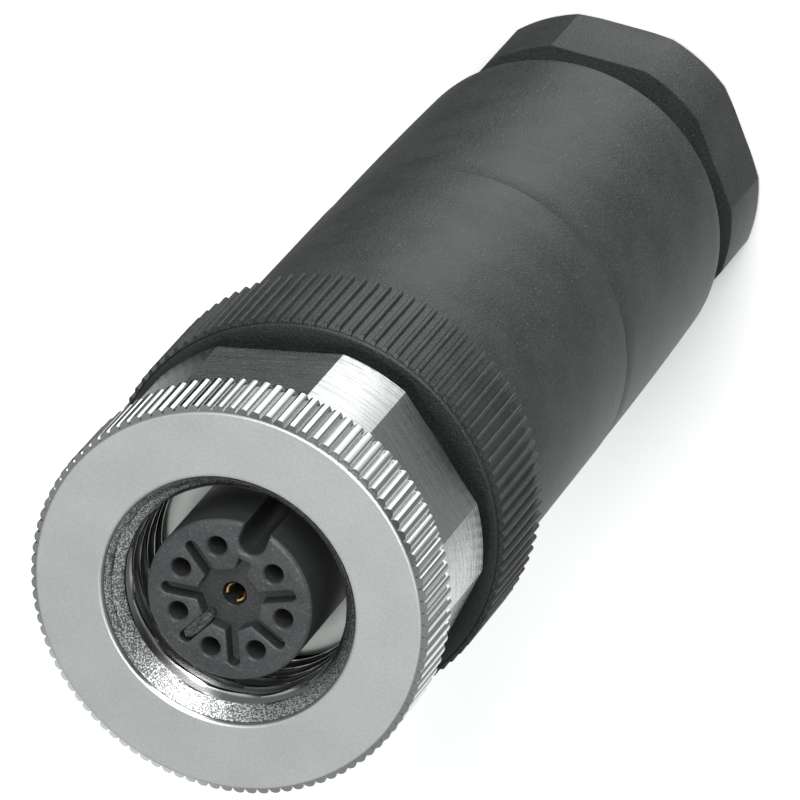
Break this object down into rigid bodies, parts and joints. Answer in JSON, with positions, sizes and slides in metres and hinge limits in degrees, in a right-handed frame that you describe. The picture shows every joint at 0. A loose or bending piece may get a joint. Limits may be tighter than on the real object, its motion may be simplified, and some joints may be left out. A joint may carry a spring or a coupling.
{
  "type": "m12 cable connector",
  "caption": "Straight round cable socket with a knurled metal coupling nut, a ribbed grip ring, a tapered black sleeve and a hexagonal cable clamp screw.",
  "frame": {"origin": "centre of the pressure screw's flat end, which the connector stands on", "axes": "+Z along the connector's axis towards the socket face, -Y towards the insert's keyway"},
  "size_m": [0.0202, 0.0202, 0.0575],
  "materials": {
    "nickel_brass": "satin nickel plating over brass",
    "black_plastic": "fine-grained matt black glass-filled plastic",
    "insert_plastic": "smooth dark grey plastic",
    "cage_plastic": "dark plastic, slightly glossy",
    "gold_brass": "gold plating",
    "spring_steel": "plain spring steel",
    "zinc_steel": "zinc plated",
    "seal_rubber": "black rubber"
  },
  "bodies": {
    "carrier": {"contact_carrier": "black_plastic", "nut_retaining_ring": "spring_steel", "contact_insert": "insert_plastic", "terminal_block": "insert_plastic", "contact_1": "gold_brass", "contact_2": "gold_brass", "contact_3": "gold_brass", "contact_4": "gold_brass", "contact_5": "gold_brass", "contact_6": "gold_brass", "contact_7": "gold_brass", "contact_8": "gold_brass", "terminal_screws": "zinc_steel", "insert_seal": "seal_rubber", "sleeve_seal": "seal_rubber"},
    "coupling_nut": {"coupling_nut": "nickel_brass"},
    "cable_seal": {"cable_seal": "seal_rubber"},
    "sleeve": {"sleeve": "black_plastic"},
    "clamp_cage": {"clamp_cage": "cage_plastic"},
    "pressure_screw": {"pressure_screw": "black_plastic"}
  },
  "joints": [
    {"name": "nut_spin", "type": "hinge", "parent": "carrier", "child": "coupling_nut", "pos_m": [0, 0, 0.0525], "axis": [0, 0, 1], "continuous": true},
    {"name": "sleeve_advance", "type": "slide", "parent": "carrier", "child": "cable_seal", "axis": [0, 0, 1], "range_m": [-0.005, 0]},
    {"name": "sleeve_turn", "type": "hinge", "parent": "cable_seal", "child": "sleeve", "pos_m": [0, 0, 0.0365], "axis": [0, 0, 1], "range_deg": [-1800, 0]},
    {"name": "screw_advance", "type": "slide", "parent": "sleeve", "child": "clamp_cage", "axis": [0, 0, 1], "range_m": [-0.006, 0.002]},
    {"name": "screw_turn", "type": "hinge", "parent": "clamp_cage", "child": "pressure_screw", "pos_m": [0, 0, 0.01], "axis": [0, 0, 1], "range_deg": [-2160, 720]}
  ],
  "couplings": [
    {"joint": "sleeve_turn", "follows": "sleeve_advance", "rad_per_m": 6283.2},
    {"joint": "screw_turn", "follows": "screw_advance", "rad_per_m": 6283.2}
  ]
}
